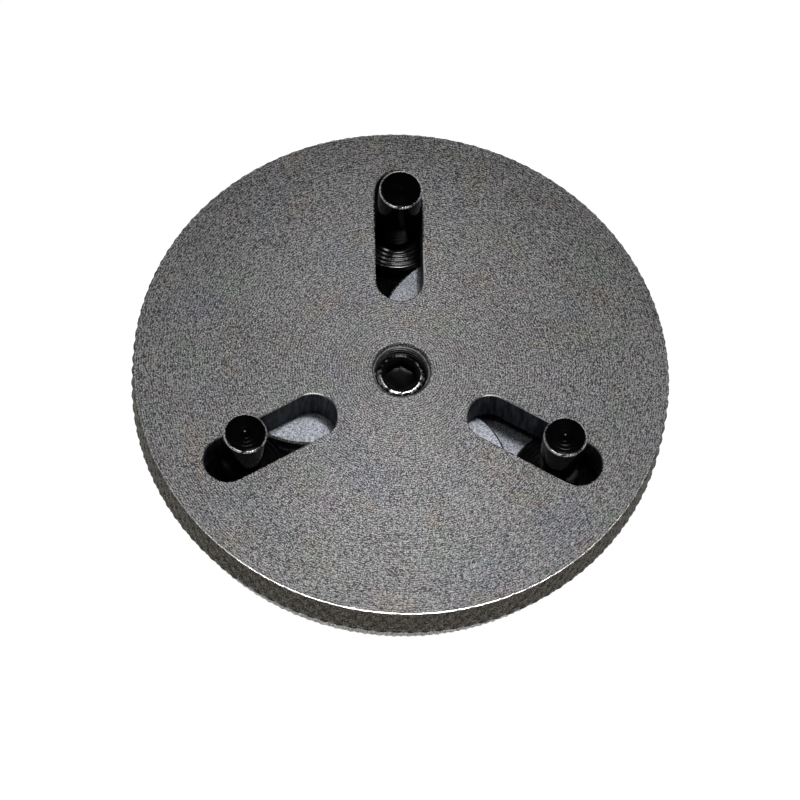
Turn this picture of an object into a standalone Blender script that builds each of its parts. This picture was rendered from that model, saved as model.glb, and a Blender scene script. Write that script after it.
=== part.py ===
"""Adjustable three-pin drive plate.

A knurled, slotted disc turns on a scroll plate and moves three pins in or out. The scroll plate has three
spiral grooves. A round follower at the foot of each pin sits in one groove, and the pin stands up through a
radial slot in the disc, so turning one plate against the other sets the pin circle.
A square-socket boss screwed to the back of the scroll plate takes the driving tool.

Metres, +Z up. The origin is at the middle of the boss's end face, which the plate stands on.
"""

import math

import bmesh
import bpy

MM = 0.001

# Knurled disc
DISC_RADIUS = 37.5 * MM
DISC_THICKNESS = 6.1 * MM
DISC_CHAMFER = 0.5 * MM
SLOT_COUNT = 3
FIRST_SLOT_AZIMUTH = math.radians(90)
SLOT_CLEARANCE = 0.32 * MM

# Drive pins and their followers
PIN_RADIUS = 3.05 * MM
PIN_CHAMFER = 0.35 * MM
PIN_STANDS_PROUD = 5.66 * MM
PIN_REST_FROM_SLOT_END = 2.6 * MM
PIN_TAIL_RADIUS = 2.2 * MM
FOLLOWER_RADIUS = 6.5 * MM
FOLLOWER_CHAMFER = 0.3 * MM
PRESS_GAP = 0.05 * MM

# Scroll plate
SCROLL_STEP_IN = 1.9 * MM
SCROLL_CHAMFER = 0.4 * MM
GROOVE_DEPTH = 2.4 * MM
GROOVE_FLOOR = 2.6 * MM
GROOVE_CLEARANCE = 0.25 * MM
GROOVE_RIM_WALL = 0.8 * MM
GROOVE_TO_RECESS_WALL = 1.5 * MM
GROOVE_RISE_PER_RADIAN = 16.7 * MM
PLATE_GAP = 0.3 * MM
REST_GAP = 0.15 * MM

# Pivot screw and its washers
HEAD_RADIUS = 3.5 * MM
HEAD_HEIGHT = 2.4 * MM
HEAD_CHAMFER = 0.3 * MM
HEAD_SUNK = 1.3 * MM
HEAD_CLEARANCE = 0.28 * MM
PIVOT_HEX_ACROSS_FLATS = 4.0 * MM
PIVOT_HEX_DEPTH = 2.0 * MM
SHOULDER_RADIUS = 2.5 * MM
THREAD_RADIUS = 2.0 * MM
RUNNING_CLEARANCE = 0.1 * MM
THREAD_END_COVER = 0.4 * MM
WAVE_WASHER_SPACE = 0.6 * MM
WAVE_WASHER_SHEET = 0.2 * MM
WAVE_WASHER_WAVE = 0.06 * MM
WAVE_COUNT = 3
THRUST_WASHER_RADIUS = 5.8 * MM
THRUST_WASHER_THICKNESS = 0.7 * MM

# Drive boss and its screws
SOCKET_WIDTH = 9.6 * MM
SOCKET_DEPTH = 11.5 * MM
NOSE_WALL_AT_CORNER = 2.4 * MM
NOSE_LENGTH = 10.0 * MM
NOSE_CHAMFER = 0.6 * MM
FLANGE_THICKNESS = 3.5 * MM
FLANGE_EDGE = 1.5 * MM
BOSS_SCREW_COUNT = 3
BOSS_SCREW_HEAD_HEIGHT = 2.8 * MM
BOSS_SCREW_HEX_ACROSS_FLATS = 3.0 * MM
BOSS_SCREW_HEX_DEPTH = 1.6 * MM
BOSS_SCREW_REACH = 3.7 * MM
BOSS_SCREW_HOLE_END = 0.3 * MM
HEAD_TO_NOSE = 0.3 * MM

# Roundness of the turned shapes, and what counts as a sharp edge or as one point
PLATE_STEPS = 96
SMALL_STEPS = 32
TINY_STEPS = 24
GROOVE_STEPS = 20
END_STEPS = 10
CUT_PAST = 1.0 * MM
SHARP_EDGE = math.radians(30)
AXIS_WELD = 0.001 * MM
OUTLINE_WELD = 0.0001 * MM

# Sizes that follow from the ones above
SLOT_HALF_WIDTH = PIN_RADIUS + SLOT_CLEARANCE
GROOVE_HALF_WIDTH = FOLLOWER_RADIUS + GROOVE_CLEARANCE
RECESS_RADIUS = THRUST_WASHER_RADIUS + 2 * RUNNING_CLEARANCE
SCROLL_RADIUS = DISC_RADIUS - SCROLL_STEP_IN
SLOT_OUTER_CENTRE = SCROLL_RADIUS - GROOVE_RIM_WALL - GROOVE_HALF_WIDTH
SLOT_INNER_CENTRE = RECESS_RADIUS + GROOVE_TO_RECESS_WALL + GROOVE_HALF_WIDTH
PIN_REST_CENTRE = SLOT_OUTER_CENTRE - PIN_REST_FROM_SLOT_END
SCROLL_THICKNESS = GROOVE_DEPTH + GROOVE_FLOOR
NOSE_RADIUS = SOCKET_WIDTH / math.sqrt(2) + NOSE_WALL_AT_CORNER
BOSS_SCREW_CIRCLE = NOSE_RADIUS + HEAD_TO_NOSE + HEAD_RADIUS
FLANGE_RADIUS = BOSS_SCREW_CIRCLE + HEAD_RADIUS + FLANGE_EDGE
TURN_IN = (PIN_REST_CENTRE - SLOT_INNER_CENTRE) / GROOVE_RISE_PER_RADIAN
TURN_OUT = (SLOT_OUTER_CENTRE - PIN_REST_CENTRE) / GROOVE_RISE_PER_RADIAN

# Heights of the faces, from the boss's end upwards
FLANGE_BOTTOM = NOSE_LENGTH
FLANGE_TOP = FLANGE_BOTTOM + FLANGE_THICKNESS
SCROLL_BOTTOM = FLANGE_TOP + PLATE_GAP
SCROLL_TOP = SCROLL_BOTTOM + SCROLL_THICKNESS
DISC_BOTTOM = SCROLL_TOP + PLATE_GAP
DISC_TOP = DISC_BOTTOM + DISC_THICKNESS
GROOVE_BASE = SCROLL_TOP - GROOVE_DEPTH
FOLLOWER_BOTTOM = GROOVE_BASE + REST_GAP
FOLLOWER_TOP = DISC_BOTTOM - REST_GAP
HEAD_TOP = DISC_TOP - HEAD_SUNK
HEAD_BOTTOM = HEAD_TOP - HEAD_HEIGHT
COUNTERBORE_FLOOR = HEAD_BOTTOM - WAVE_WASHER_SPACE
THRUST_WASHER_TOP = DISC_BOTTOM - REST_GAP
THRUST_WASHER_BOTTOM = THRUST_WASHER_TOP - THRUST_WASHER_THICKNESS
RECESS_FLOOR = THRUST_WASHER_BOTTOM - REST_GAP


def clear_scene():
    for thing in list(bpy.data.objects):
        bpy.data.objects.remove(thing)


def new_collection(name):
    collection = bpy.data.collections.new(name)
    bpy.context.scene.collection.children.link(collection)
    return collection


def new_material(name, colour, roughness, metallic):
    material = bpy.data.materials.new(name)
    material.use_nodes = True
    shader = material.node_tree.nodes["Principled BSDF"]
    shader.inputs["Base Color"].default_value = (*colour, 1.0)
    shader.inputs["Roughness"].default_value = roughness
    shader.inputs["Metallic"].default_value = metallic
    return material


def add_object(name, mesh, collection, place=(0.0, 0.0, 0.0)):
    thing = bpy.data.objects.new(name, mesh)
    thing.location = place
    collection.objects.link(thing)
    return thing


def finish_part(thing, material):
    thing.data.materials.clear()
    thing.data.materials.append(material)
    thing.data.shade_smooth()
    thing.data.set_sharp_from_angle(angle=SHARP_EDGE)


def turned_profile(name, points, ring):
    """A mesh of edges through (radius, height) points, closed into a loop for a ring."""
    mesh = bpy.data.meshes.new(name)
    edges = [(i, i + 1) for i in range(len(points) - 1)]
    if ring:
        edges.append((len(points) - 1, 0))
    mesh.from_pydata([(radius, 0.0, height) for radius, height in points], edges, [])
    return mesh


def turned(name, points, steps, collection, place=(0.0, 0.0, 0.0), ring=False):
    """A turned solid. The points run down the outer side, and back up the bore where it is a ring."""
    thing = add_object(name, turned_profile(name, points, ring), collection, place)
    screw = thing.modifiers.new("Turn", "SCREW")
    screw.axis = "Z"
    screw.angle = math.tau
    screw.steps = steps
    screw.render_steps = steps
    screw.use_merge_vertices = True
    screw.merge_threshold = AXIS_WELD
    return thing


def evaluated_mesh(thing):
    graph = bpy.context.evaluated_depsgraph_get()
    return bpy.data.meshes.new_from_object(thing.evaluated_get(graph))


def apply_modifiers(thing):
    """Turns the modifiers' result into the object's own mesh, which other objects can then share."""
    mesh = evaluated_mesh(thing)
    thing.modifiers.clear()
    thing.data = mesh


def make_cutter(thing):
    for collection in list(thing.users_collection):
        collection.objects.unlink(thing)
    CUTTERS.objects.link(thing)
    thing.hide_render = True
    thing.display_type = "WIRE"
    return thing


def prism_cutter(name, sides, radius, bottom, top, place=(0.0, 0.0), turn=0.0):
    bpy.ops.mesh.primitive_cylinder_add(vertices=sides, radius=radius, depth=top - bottom)
    thing = bpy.context.object
    thing.name = name
    thing.location = (place[0], place[1], (bottom + top) / 2)
    thing.rotation_euler = (0.0, 0.0, turn)
    return make_cutter(thing)


def outline_cutter(name, outline, bottom, top):
    """A flat outline of (x, y) points, filled and extruded from bottom to top, as a closed mesh."""
    curve = bpy.data.curves.new(name, "CURVE")
    curve.dimensions = "2D"
    curve.fill_mode = "BOTH"
    curve.extrude = (top - bottom) / 2
    spline = curve.splines.new("POLY")
    spline.points.add(len(outline) - 1)
    for point, (x, y) in zip(spline.points, outline):
        point.co = (x, y, 0.0, 1.0)
    spline.use_cyclic_u = True
    guide = add_object(name + "_outline", curve, CUTTERS, (0.0, 0.0, (bottom + top) / 2))
    bpy.context.view_layer.update()
    mesh = evaluated_mesh(guide)
    welded = bmesh.new()
    welded.from_mesh(mesh)
    bmesh.ops.remove_doubles(welded, verts=welded.verts, dist=OUTLINE_WELD)
    bmesh.ops.recalc_face_normals(welded, faces=welded.faces)
    welded.to_mesh(mesh)
    welded.free()
    cutter = add_object(name, mesh, CUTTERS)
    cutter.matrix_world = guide.matrix_world
    bpy.data.objects.remove(guide)
    return make_cutter(cutter)


def cut(thing, cutter):
    boolean = thing.modifiers.new("Cut " + cutter.name, "BOOLEAN")
    boolean.operation = "DIFFERENCE"
    boolean.object = cutter


def arc(centre, radius, start, end, steps):
    return [
        (
            centre[0] + radius * math.cos(start + (end - start) * i / steps),
            centre[1] + radius * math.sin(start + (end - start) * i / steps),
        )
        for i in range(steps + 1)
    ]


def end_cap(centre, radius, facing):
    """The half circle at the end of a slot or groove, from its right side round to its left."""
    return arc(centre, radius, facing - math.pi / 2, facing + math.pi / 2, END_STEPS)


def polar(radius, azimuth):
    return radius * math.cos(azimuth), radius * math.sin(azimuth)


def slot_azimuth(index):
    return FIRST_SLOT_AZIMUTH + math.tau * index / SLOT_COUNT


def slot_outline(azimuth):
    """A round-ended slot that lies along a radius."""
    outer_end = polar(SLOT_OUTER_CENTRE, azimuth)
    inner_end = polar(SLOT_INNER_CENTRE, azimuth)
    outer_cap = end_cap(outer_end, SLOT_HALF_WIDTH, azimuth)
    inner_cap = end_cap(inner_end, SLOT_HALF_WIDTH, azimuth + math.pi)
    return outer_cap + inner_cap


def beside(x, y, heading, distance):
    """The point at that distance to the right of a line through x, y in the direction heading."""
    return x + distance * math.sin(heading), y - distance * math.cos(heading)


def groove_outline(azimuth):
    """A round-ended groove about a spiral whose radius falls steadily, from slot end to slot end."""
    middle = []
    for i in range(GROOVE_STEPS + 1):
        turn = -TURN_OUT + (TURN_OUT + TURN_IN) * i / GROOVE_STEPS
        radius = PIN_REST_CENTRE - GROOVE_RISE_PER_RADIAN * turn
        heading = math.atan2(radius, -GROOVE_RISE_PER_RADIAN) + azimuth + turn
        middle.append((*polar(radius, azimuth + turn), heading))
    outer_side = [beside(*point, GROOVE_HALF_WIDTH) for point in middle]
    inner_side = [beside(*point, -GROOVE_HALF_WIDTH) for point in middle]
    x, y, heading = middle[-1]
    inner_cap = end_cap((x, y), GROOVE_HALF_WIDTH, heading)
    x, y, heading = middle[0]
    outer_cap = end_cap((x, y), GROOVE_HALF_WIDTH, heading + math.pi)
    return outer_side + inner_cap[1:-1] + inner_side[::-1] + outer_cap[1:-1]


def chamfered_disc(radius, bottom, top, chamfer):
    """The profile of a solid disc with both rims chamfered."""
    return [
        (0.0, top),
        (radius - chamfer, top),
        (radius, top - chamfer),
        (radius, bottom + chamfer),
        (radius - chamfer, bottom),
        (0.0, bottom),
    ]


def add_knurled_disc(material):
    disc = turned(
        "knurled_disc",
        chamfered_disc(DISC_RADIUS, 0.0, DISC_THICKNESS, DISC_CHAMFER),
        PLATE_STEPS,
        PARTS,
        (0.0, 0.0, DISC_BOTTOM),
    )
    for index in range(SLOT_COUNT):
        outline = slot_outline(slot_azimuth(index))
        cutter = outline_cutter(f"slot_{index + 1}", outline, DISC_BOTTOM - CUT_PAST, DISC_TOP + CUT_PAST)
        cut(disc, cutter)
    counterbore = HEAD_RADIUS + HEAD_CLEARANCE
    top = DISC_TOP + CUT_PAST
    cut(disc, prism_cutter("head_counterbore", SMALL_STEPS, counterbore, COUNTERBORE_FLOOR, top))
    bore = SHOULDER_RADIUS + RUNNING_CLEARANCE
    cut(disc, prism_cutter("pivot_bore", SMALL_STEPS, bore, DISC_BOTTOM - CUT_PAST, DISC_TOP))
    apply_modifiers(disc)
    finish_part(disc, material)


def add_scroll_plate(material):
    plate = turned(
        "scroll_plate",
        chamfered_disc(SCROLL_RADIUS, SCROLL_BOTTOM, SCROLL_TOP, SCROLL_CHAMFER),
        PLATE_STEPS,
        PARTS,
    )
    for index in range(SLOT_COUNT):
        outline = groove_outline(slot_azimuth(index))
        cut(plate, outline_cutter(f"groove_{index + 1}", outline, GROOVE_BASE, SCROLL_TOP + CUT_PAST))
    top = SCROLL_TOP + CUT_PAST
    cut(plate, prism_cutter("washer_recess", SMALL_STEPS, RECESS_RADIUS, RECESS_FLOOR, top))
    hole = THREAD_RADIUS + RUNNING_CLEARANCE
    bottom = SCROLL_BOTTOM - CUT_PAST
    cut(plate, prism_cutter("pivot_thread", TINY_STEPS, hole, bottom, SCROLL_TOP))
    hole_top = SCROLL_BOTTOM + BOSS_SCREW_REACH + BOSS_SCREW_HOLE_END
    for index in range(BOSS_SCREW_COUNT):
        place = polar(BOSS_SCREW_CIRCLE, boss_screw_azimuth(index))
        name = f"boss_screw_thread_{index + 1}"
        cut(plate, prism_cutter(name, TINY_STEPS, hole, bottom, hole_top, place))
    apply_modifiers(plate)
    finish_part(plate, material)


def boss_screw_azimuth(index):
    """The middle of the plain metal between the inner ends of two neighbouring grooves."""
    return FIRST_SLOT_AZIMUTH + TURN_IN + math.tau * (index + 0.5) / BOSS_SCREW_COUNT


def add_pins(pin_material, follower_material):
    """Each pin and its follower have their origin on the pin's axis, at the disc's lower face."""
    top = DISC_THICKNESS + PIN_STANDS_PROUD
    tail_top = FOLLOWER_TOP + REST_GAP - DISC_BOTTOM
    tail_bottom = FOLLOWER_BOTTOM - DISC_BOTTOM
    pin_profile = [
        (0.0, top),
        (PIN_RADIUS - PIN_CHAMFER, top),
        (PIN_RADIUS, top - PIN_CHAMFER),
        (PIN_RADIUS, tail_top),
        (PIN_TAIL_RADIUS, tail_top),
        (PIN_TAIL_RADIUS, tail_bottom),
        (0.0, tail_bottom),
    ]
    follower_top = FOLLOWER_TOP - DISC_BOTTOM
    bore = PIN_TAIL_RADIUS + PRESS_GAP
    follower_profile = [
        (bore, follower_top),
        (FOLLOWER_RADIUS - FOLLOWER_CHAMFER, follower_top),
        (FOLLOWER_RADIUS, follower_top - FOLLOWER_CHAMFER),
        (FOLLOWER_RADIUS, tail_bottom + FOLLOWER_CHAMFER),
        (FOLLOWER_RADIUS - FOLLOWER_CHAMFER, tail_bottom),
        (bore, tail_bottom),
    ]
    pin_mesh = None
    follower_mesh = None
    for index in range(SLOT_COUNT):
        azimuth = slot_azimuth(index)
        place = (*polar(PIN_REST_CENTRE, azimuth), DISC_BOTTOM)
        if index == 0:
            pin = turned("pin_1", pin_profile, SMALL_STEPS, PARTS, place)
            follower = turned("follower_1", follower_profile, SMALL_STEPS, PARTS, place, ring=True)
            apply_modifiers(pin)
            apply_modifiers(follower)
            finish_part(pin, pin_material)
            finish_part(follower, follower_material)
            pin_mesh = pin.data
            follower_mesh = follower.data
        else:
            add_object(f"pin_{index + 1}", pin_mesh, PARTS, place)
            add_object(f"follower_{index + 1}", follower_mesh, PARTS, place)


def add_pivot_screw(material):
    """A shoulder screw: the disc turns on the shoulder, and the thread holds in the scroll plate."""
    shoulder_end = RECESS_FLOOR + REST_GAP
    thread_end = SCROLL_BOTTOM + THREAD_END_COVER
    screw = turned(
        "pivot_screw",
        [
            (0.0, HEAD_TOP),
            (HEAD_RADIUS - HEAD_CHAMFER, HEAD_TOP),
            (HEAD_RADIUS, HEAD_TOP - HEAD_CHAMFER),
            (HEAD_RADIUS, HEAD_BOTTOM),
            (SHOULDER_RADIUS, HEAD_BOTTOM),
            (SHOULDER_RADIUS, shoulder_end),
            (THREAD_RADIUS, shoulder_end),
            (THREAD_RADIUS, thread_end),
            (0.0, thread_end),
        ],
        TINY_STEPS,
        PARTS,
    )
    corner = PIVOT_HEX_ACROSS_FLATS / math.sqrt(3)
    cut(screw, prism_cutter("pivot_hex", 6, corner, HEAD_TOP - PIVOT_HEX_DEPTH, HEAD_TOP + CUT_PAST))
    finish_part(screw, material)


def add_wave_washer(material):
    """A thin ring bent into even waves, under the pivot screw's head."""
    inner = SHOULDER_RADIUS + RUNNING_CLEARANCE
    outer = HEAD_RADIUS
    middle = COUNTERBORE_FLOOR + WAVE_WASHER_SPACE / 2
    ring = turned(
        "wave_washer",
        [
            (outer, WAVE_WASHER_SHEET / 2),
            (outer, -WAVE_WASHER_SHEET / 2),
            (inner, -WAVE_WASHER_SHEET / 2),
            (inner, WAVE_WASHER_SHEET / 2),
        ],
        2 * TINY_STEPS,
        PARTS,
        (0.0, 0.0, middle),
        ring=True,
    )
    apply_modifiers(ring)
    for vertex in ring.data.vertices:
        azimuth = math.atan2(vertex.co.y, vertex.co.x)
        vertex.co.z += WAVE_WASHER_WAVE * math.cos(WAVE_COUNT * azimuth)
    finish_part(ring, material)


def add_thrust_washer(material):
    inner = SHOULDER_RADIUS + RUNNING_CLEARANCE
    washer = turned(
        "thrust_washer",
        [
            (THRUST_WASHER_RADIUS, THRUST_WASHER_TOP),
            (THRUST_WASHER_RADIUS, THRUST_WASHER_BOTTOM),
            (inner, THRUST_WASHER_BOTTOM),
            (inner, THRUST_WASHER_TOP),
        ],
        SMALL_STEPS,
        PARTS,
        ring=True,
    )
    finish_part(washer, material)


def add_drive_boss(material):
    boss = turned(
        "drive_boss",
        [
            (0.0, FLANGE_TOP),
            (FLANGE_RADIUS - NOSE_CHAMFER, FLANGE_TOP),
            (FLANGE_RADIUS, FLANGE_TOP - NOSE_CHAMFER),
            (FLANGE_RADIUS, FLANGE_BOTTOM + NOSE_CHAMFER),
            (FLANGE_RADIUS - NOSE_CHAMFER, FLANGE_BOTTOM),
            (NOSE_RADIUS, FLANGE_BOTTOM),
            (NOSE_RADIUS, NOSE_CHAMFER),
            (NOSE_RADIUS - NOSE_CHAMFER, 0.0),
            (0.0, 0.0),
        ],
        2 * SMALL_STEPS,
        PARTS,
    )
    corner = SOCKET_WIDTH / math.sqrt(2)
    cut(boss, prism_cutter("drive_socket", 4, corner, -CUT_PAST, SOCKET_DEPTH, turn=math.pi / 4))
    hole = THREAD_RADIUS + RUNNING_CLEARANCE
    for index in range(BOSS_SCREW_COUNT):
        place = polar(BOSS_SCREW_CIRCLE, boss_screw_azimuth(index))
        name = f"boss_screw_hole_{index + 1}"
        bottom = FLANGE_BOTTOM - CUT_PAST
        top = FLANGE_TOP + CUT_PAST
        cut(boss, prism_cutter(name, TINY_STEPS, hole, bottom, top, place))
    finish_part(boss, material)


def add_boss_screws(material):
    """Cap screws, each with its origin where its head meets the flange, standing head down."""
    end = FLANGE_THICKNESS + PLATE_GAP + BOSS_SCREW_REACH
    profile = [
        (0.0, end),
        (THREAD_RADIUS, end),
        (THREAD_RADIUS, -REST_GAP),
        (HEAD_RADIUS, -REST_GAP),
        (HEAD_RADIUS, HEAD_CHAMFER - BOSS_SCREW_HEAD_HEIGHT),
        (HEAD_RADIUS - HEAD_CHAMFER, -BOSS_SCREW_HEAD_HEIGHT),
        (0.0, -BOSS_SCREW_HEAD_HEIGHT),
    ]
    corner = BOSS_SCREW_HEX_ACROSS_FLATS / math.sqrt(3)
    head_end = FLANGE_BOTTOM - BOSS_SCREW_HEAD_HEIGHT
    shared = None
    for index in range(BOSS_SCREW_COUNT):
        azimuth = boss_screw_azimuth(index)
        place = (*polar(BOSS_SCREW_CIRCLE, azimuth), FLANGE_BOTTOM)
        if index == 0:
            screw = turned("boss_screw_1", profile, TINY_STEPS, PARTS, place)
            hex_top = head_end + BOSS_SCREW_HEX_DEPTH
            cut(screw, prism_cutter("boss_screw_hex", 6, corner, head_end - CUT_PAST, hex_top, place[:2]))
            apply_modifiers(screw)
            finish_part(screw, material)
            shared = screw.data
        else:
            add_object(f"boss_screw_{index + 1}", shared, PARTS, place)


clear_scene()
PARTS = new_collection("three_pin_drive_plate")
CUTTERS = new_collection("cutters")

phosphated = new_material("phosphated_steel", (0.155, 0.152, 0.148), 0.62, 0.55)
ground = new_material("ground_steel", (0.42, 0.44, 0.48), 0.42, 0.8)
black = new_material("black_oxide_steel", (0.012, 0.012, 0.013), 0.25, 0.6)
spring = new_material("spring_steel", (0.25, 0.25, 0.27), 0.35, 0.9)
bronze = new_material("bronze", (0.42, 0.27, 0.12), 0.4, 0.9)

add_knurled_disc(phosphated)
add_scroll_plate(ground)
add_pins(black, black)
add_pivot_screw(black)
add_wave_washer(spring)
add_thrust_washer(bronze)
add_drive_boss(phosphated)
add_boss_screws(black)
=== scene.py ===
"""The looks of an adjustable three-pin drive plate: fine meshes, finishes, studio light and camera.

A knurled, slotted disc turns on a scroll plate. Three pins stand up through the disc's slots, each on
a round follower that runs in a spiral groove of the plate. Every piece stands for one node of the frame
and rides on its body. Metres, +Z up, in the frame's own axes.
"""

import math

import bmesh
import bpy
from mathutils import Matrix, Vector
from mathutils.geometry import tessellate_polygon


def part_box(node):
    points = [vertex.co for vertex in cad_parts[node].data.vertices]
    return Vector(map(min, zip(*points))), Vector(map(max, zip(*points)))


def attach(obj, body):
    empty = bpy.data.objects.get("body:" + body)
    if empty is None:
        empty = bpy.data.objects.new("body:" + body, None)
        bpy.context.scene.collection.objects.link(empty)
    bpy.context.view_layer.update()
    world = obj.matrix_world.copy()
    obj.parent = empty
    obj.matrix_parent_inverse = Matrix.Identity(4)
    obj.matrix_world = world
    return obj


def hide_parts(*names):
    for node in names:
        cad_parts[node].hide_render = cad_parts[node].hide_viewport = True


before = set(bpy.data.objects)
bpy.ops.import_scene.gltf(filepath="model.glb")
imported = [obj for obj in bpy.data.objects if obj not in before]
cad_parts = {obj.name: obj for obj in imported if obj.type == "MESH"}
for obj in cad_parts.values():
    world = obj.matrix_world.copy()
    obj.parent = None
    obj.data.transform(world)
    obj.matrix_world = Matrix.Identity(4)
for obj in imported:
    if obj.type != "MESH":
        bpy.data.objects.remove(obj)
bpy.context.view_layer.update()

MM = 0.001
FULL_TURN = math.tau
QUARTER = math.pi / 2

# Sizes and heights that the frame gives
DISC_LOW, DISC_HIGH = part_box("knurled_disc")
SCROLL_LOW, SCROLL_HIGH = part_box("scroll_plate")
PIVOT_LOW, PIVOT_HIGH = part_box("pivot_screw")
WAVE_LOW, WAVE_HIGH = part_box("wave_washer")
THRUST_LOW, THRUST_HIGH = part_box("thrust_washer")
_, BOSS_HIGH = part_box("drive_boss")
DISC_RADIUS = DISC_HIGH.x
DISC_TOP = DISC_HIGH.z
DISC_BOTTOM = DISC_LOW.z
SCROLL_RADIUS = SCROLL_HIGH.x
SCROLL_TOP = SCROLL_HIGH.z
SCROLL_BOTTOM = SCROLL_LOW.z
FLANGE_RADIUS = BOSS_HIGH.x
FLANGE_TOP = BOSS_HIGH.z
THRUST_RADIUS = THRUST_HIGH.x

# A shell's finishes, in the order that its object lists them
# The last finish is near black, put where only shade falls: painted shade
FACE, RIM, EDGE, WALL, INNER, PAINTED_SHADE = range(6)
ROUND_EDGE_STEPS = 7
SHARP_ANGLE = math.radians(28)

# Disc: its slots, the counterbore for the pivot screw and the worked edges
SLOT_COUNT = 3
FIRST_SLOT = math.radians(90)
SLOT_HALF_WIDTH = 3.37 * MM
SLOT_INNER_CENTRE = 14.25 * MM
SLOT_OUTER_CENTRE = 28.05 * MM
SLOT_EDGE = 0.15 * MM
DISC_CHAMFER = 0.38 * MM
COUNTERBORE_RADIUS = 3.78 * MM
COUNTERBORE_FLOOR = 20.9 * MM
COUNTERBORE_EDGE = 0.45 * MM
PIVOT_BORE = 2.6 * MM
COUNTERBORE_LIP = 0.06 * MM
# How far out from the bore and how far down, as shares of its edge
COUNTERBORE_PATH = [(0.55, 0.4), (0.4, 0.5), (0.1, 0.9), (0.0, 1.1)]
SLOT_END_STEPS = 40

# Knurl of both rims. The disc's has bare worn rows at the top and painted shade at the bottom.
KNURL_PITCHES = 116
KNURL_DEPTH = 0.26 * MM
KNURL_HELIX = math.radians(30)
KNURL_LAND = 0.16
KNURL_COLUMNS = 8
KNURL_EDGE_SHARES = (0.0, 0.1, 0.3, 0.5, 0.75, 1.0)
KNURL_LEAST_ROW = 0.03 * MM
# How far down from the face and how far in, as shares of the chamfer
WORN_PATH = [(0.0, 1.0), (0.1, 0.62), (0.5, 0.1), (1.0, 0.0)]
WORN_ROWS = 1
PAINTED_SHADE_ROWS = 6

# Scroll plate
SCROLL_CHAMFER = 0.08 * MM
GROOVE_HALF_WIDTH = 6.6 * MM
GROOVE_RISE = 16.7 * MM
GROOVE_REST_CENTRE = 25.45 * MM
GROOVE_BASE = 16.4 * MM
GROOVE_EDGE = 0.26 * MM
GROOVE_FILLET = 0.25 * MM
GROOVE_STEPS = 64
# Near black on the first two groove floors and the third groove's edge, darker steel on the third
# floor: painted shade
GROOVE_FINISHES = (PAINTED_SHADE, PAINTED_SHADE, INNER)
GROOVE_EDGE_FINISHES = (EDGE, EDGE, PAINTED_SHADE)
RECESS_RADIUS = 6.0 * MM
RECESS_FLOOR = 18.1 * MM
THREAD_HOLE = 2.1 * MM
BLIND_HOLE_END = 17.8 * MM

# Pins and followers
PIN_RADIUS = 3.05 * MM
PIN_TAIL_RADIUS = 2.2 * MM
PIN_CHAMFER = 0.32 * MM
PIN_PIP = 0.3 * MM
PIN_RING_PITCH = 0.62 * MM
PIN_RING_DEPTH = 0.012 * MM
# A share of the pip's radius or of the ring's pitch, and how far down from the end
PIN_PIP_PATH = [(0.0, 0.02 * MM), (0.6, 0.03 * MM), (1.0, 2 * PIN_RING_DEPTH)]
PIN_RING_PATH = [(0.0, 0.0), (0.5, 0.0), (0.62, PIN_RING_DEPTH), (0.85, PIN_RING_DEPTH)]
PIN_FIRST_RING = 1.3
PIN_FLAT_END = 0.1 * MM
# Where the rubbed band of the pin's edge starts and ends, as shares of the chamfer
PIN_WORN_FROM, PIN_WORN_TO = 0.55, 0.06
PIN_SHOULDER = 19.1 * MM
FOLLOWER_BORE = 2.25 * MM
FOLLOWER_HUB_RADIUS = 3.4 * MM
FOLLOWER_RING_START = 3.45 * MM
FOLLOWER_RING_SPAN = 2.5 * MM
FOLLOWER_RINGS = 4
FOLLOWER_RING_STEPS = 32
FOLLOWER_RING_DEPTH = 0.09 * MM
FOLLOWER_STEP_DOWN = 0.04 * MM
FOLLOWER_SLOPE = 0.12 * MM
# How far in from the side and how far down from the top
FOLLOWER_EDGE_PATH = [(0.42 * MM, 0.2 * MM), (0.05 * MM, 0.6 * MM), (0.0, 0.7 * MM)]
FOLLOWER_BOTTOM_CHAMFER = 0.3 * MM

# Screws
HEX_LEAD = 0.12 * MM
HEX_LEAD_SLOPE = 0.6
HEX_FLOOR_SHARE = 0.42
HEX_FLOOR_DROP = 0.05 * MM
HEX_CENTRE_DROP = 0.07 * MM
PIVOT_HEX = 4.0 * MM
PIVOT_HEX_DEPTH = 2.0 * MM
PIVOT_HEAD_BOTTOM = 21.5 * MM
PIVOT_HEAD_ROUND = 0.75 * MM
PIVOT_WORN_SHARE = 0.3
PIVOT_SHOULDER_RADIUS = 2.5 * MM
PIVOT_SHOULDER_END = 18.25 * MM
THREAD_RADIUS = 2.0 * MM
THREAD_PITCH = 0.7 * MM
THREAD_DEPTH = 0.3 * MM
BOSS_HEX = 3.0 * MM
BOSS_HEX_DEPTH = 1.6 * MM
BOSS_HEAD_TOP = 9.85 * MM
BOSS_HEAD_CHAMFER = 0.35 * MM
BOSS_HEAD_TEETH = 32
BOSS_HEAD_TOOTH = 0.14 * MM
BOSS_TOOTH_STEPS = 6
BOSS_TOOTH_START = 0.1 * MM
BOSS_TOOTH_END = 0.15 * MM

# Washers
WASHER_BORE = 2.6 * MM
WAVE_HEIGHT = 0.06 * MM
WAVE_COUNT = 3
WAVE_HALF_SHEET = 0.1 * MM
WAVE_EASE = 0.03 * MM
THRUST_EASE = 0.08 * MM
THRUST_GROOVE_DEPTH = 0.12 * MM
THRUST_GROOVE = (4.0 * MM, 4.1 * MM, 4.4 * MM, 4.5 * MM)

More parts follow.
